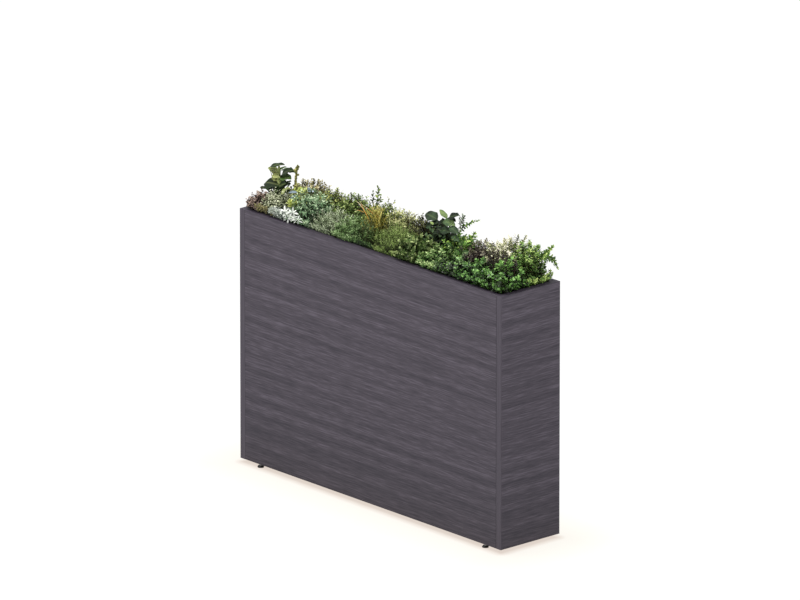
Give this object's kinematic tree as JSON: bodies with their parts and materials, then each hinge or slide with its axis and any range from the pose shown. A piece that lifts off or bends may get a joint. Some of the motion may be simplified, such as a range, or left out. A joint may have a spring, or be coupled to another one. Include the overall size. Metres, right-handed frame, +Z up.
{
  "type": "planter divider",
  "caption": "Tall narrow free-standing planter divider: a woodgrain laminate case on levelling feet with lift-out liners of mixed artificial greenery.",
  "frame": {"origin": "middle of the footprint, on the floor under the levelling feet", "axes": "+X along the case, -Y out of the front face, +Z up"},
  "size_m": [1.524, 0.305, 1.2403],
  "materials": {
    "laminate": "satin",
    "edge_band": "satin",
    "inner_board": "matte",
    "softwood": "matte",
    "hardwood": "matte",
    "cam_zinc": "satin",
    "bright_steel": "satin",
    "insert_steel": "satin",
    "foot_plastic": "satin",
    "foot_steel": "satin",
    "liner_plastic": "satin",
    "foam": "matte",
    "moss": "matte",
    "burgundy_sprig": "matte",
    "sage_mound": "matte",
    "tall_broadleaf": "matte",
    "bead_spike": "matte",
    "silver_lace_leaf": "matte",
    "lime_rosettes": "matte",
    "brown_tip_bush": "matte",
    "blue_green_sedum": "matte",
    "olive_bush": "matte",
    "gray_juniper": "matte",
    "olive_sprig_bush": "matte",
    "green_juniper": "matte",
    "orange_twig_sprig": "matte",
    "golden_grass": "matte",
    "feather_sprig": "matte",
    "moss_green_bush": "matte",
    "speckled_bush": "matte",
    "fleshy_leaf_bush": "matte",
    "round_leaf_plant": "matte",
    "light_green_bush": "matte",
    "lime_sprig_bush": "matte",
    "left_boxwood": "matte",
    "purple_leaf_bush": "matte",
    "middle_boxwood": "matte",
    "cream_tip_bush": "matte",
    "right_boxwood": "matte",
    "drooping_sprig_bush": "matte"
  },
  "bodies": {
    "case": {"front_panel": "laminate", "back_panel": "laminate", "left_end_panel": "laminate", "right_end_panel": "laminate", "top_edge_bands": "edge_band", "upright_edge_bands": "edge_band", "bottom_edge_bands": "edge_band", "base_panel": "inner_board", "center_divider": "inner_board", "planter_shelf": "inner_board", "shelf_cleats": "softwood", "cam_housings": "cam_zinc", "cam_bolts": "bright_steel", "dowels": "hardwood", "wood_screws": "bright_steel", "foot_inserts": "insert_steel"},
    "front_left_pad": {"front_left_foot_pad": "foot_plastic"},
    "front_left_stem": {"front_left_foot_stem": "foot_steel"},
    "front_right_pad": {"front_right_foot_pad": "foot_plastic"},
    "front_right_stem": {"front_right_foot_stem": "foot_steel"},
    "back_left_pad": {"back_left_foot_pad": "foot_plastic"},
    "back_left_stem": {"back_left_foot_stem": "foot_steel"},
    "back_right_pad": {"back_right_foot_pad": "foot_plastic"},
    "back_right_stem": {"back_right_foot_stem": "foot_steel"},
    "left_tray": {"left_liner": "liner_plastic", "left_foam_block": "foam", "left_moss_layer": "moss", "burgundy_sprig": "burgundy_sprig", "sage_mound": "sage_mound", "tall_broadleaf": "tall_broadleaf", "bead_spike": "bead_spike", "silver_lace_leaf": "silver_lace_leaf", "lime_rosettes": "lime_rosettes", "brown_tip_bush": "brown_tip_bush", "blue_green_sedum": "blue_green_sedum", "olive_bush": "olive_bush", "gray_juniper": "gray_juniper", "olive_sprig_bush": "olive_sprig_bush"},
    "middle_tray": {"middle_liner": "liner_plastic", "middle_foam_block": "foam", "middle_moss_layer": "moss", "green_juniper": "green_juniper", "orange_twig_sprig": "orange_twig_sprig", "golden_grass": "golden_grass", "feather_sprig": "feather_sprig", "moss_green_bush": "moss_green_bush", "speckled_bush": "speckled_bush", "fleshy_leaf_bush": "fleshy_leaf_bush", "round_leaf_plant": "round_leaf_plant"},
    "right_tray": {"right_liner": "liner_plastic", "right_foam_block": "foam", "right_moss_layer": "moss", "light_green_bush": "light_green_bush", "lime_sprig_bush": "lime_sprig_bush", "left_boxwood": "left_boxwood", "purple_leaf_bush": "purple_leaf_bush", "middle_boxwood": "middle_boxwood", "cream_tip_bush": "cream_tip_bush", "right_boxwood": "right_boxwood", "drooping_sprig_bush": "drooping_sprig_bush"}
  },
  "joints": [
    {"name": "front_left_foot_height", "type": "slide", "parent": "case", "child": "front_left_pad", "axis": [0, 0, 1], "range_m": [-0.025, 0.002]},
    {"name": "front_left_stem_turn", "type": "hinge", "parent": "front_left_pad", "child": "front_left_stem", "pos_m": [-0.657, -0.1382, 0], "axis": [0, 0, 1], "continuous": true},
    {"name": "front_right_foot_height", "type": "slide", "parent": "case", "child": "front_right_pad", "axis": [0, 0, 1], "range_m": [-0.025, 0.002]},
    {"name": "front_right_stem_turn", "type": "hinge", "parent": "front_right_pad", "child": "front_right_stem", "pos_m": [0.657, -0.1382, 0], "axis": [0, 0, 1], "continuous": true},
    {"name": "back_left_foot_height", "type": "slide", "parent": "case", "child": "back_left_pad", "axis": [0, 0, 1], "range_m": [-0.025, 0.002]},
    {"name": "back_left_stem_turn", "type": "hinge", "parent": "back_left_pad", "child": "back_left_stem", "pos_m": [-0.657, 0.1382, 0], "axis": [0, 0, 1], "continuous": true},
    {"name": "back_right_foot_height", "type": "slide", "parent": "case", "child": "back_right_pad", "axis": [0, 0, 1], "range_m": [-0.025, 0.002]},
    {"name": "back_right_stem_turn", "type": "hinge", "parent": "back_right_pad", "child": "back_right_stem", "pos_m": [0.657, 0.1382, 0], "axis": [0, 0, 1], "continuous": true},
    {"name": "left_liner_lift", "type": "slide", "parent": "case", "child": "left_tray", "axis": [0, 0, 1], "range_m": [0, 0.45]},
    {"name": "middle_liner_lift", "type": "slide", "parent": "case", "child": "middle_tray", "axis": [0, 0, 1], "range_m": [0, 0.45]},
    {"name": "right_liner_lift", "type": "slide", "parent": "case", "child": "right_tray", "axis": [0, 0, 1], "range_m": [0, 0.45]}
  ],
  "couplings": [
    {"joint": "front_left_stem_turn", "follows": "front_left_foot_height", "rad_per_m": 5026.5},
    {"joint": "front_right_stem_turn", "follows": "front_right_foot_height", "rad_per_m": 5026.5},
    {"joint": "back_left_stem_turn", "follows": "back_left_foot_height", "rad_per_m": 5026.5},
    {"joint": "back_right_stem_turn", "follows": "back_right_foot_height", "rad_per_m": 5026.5}
  ]
}
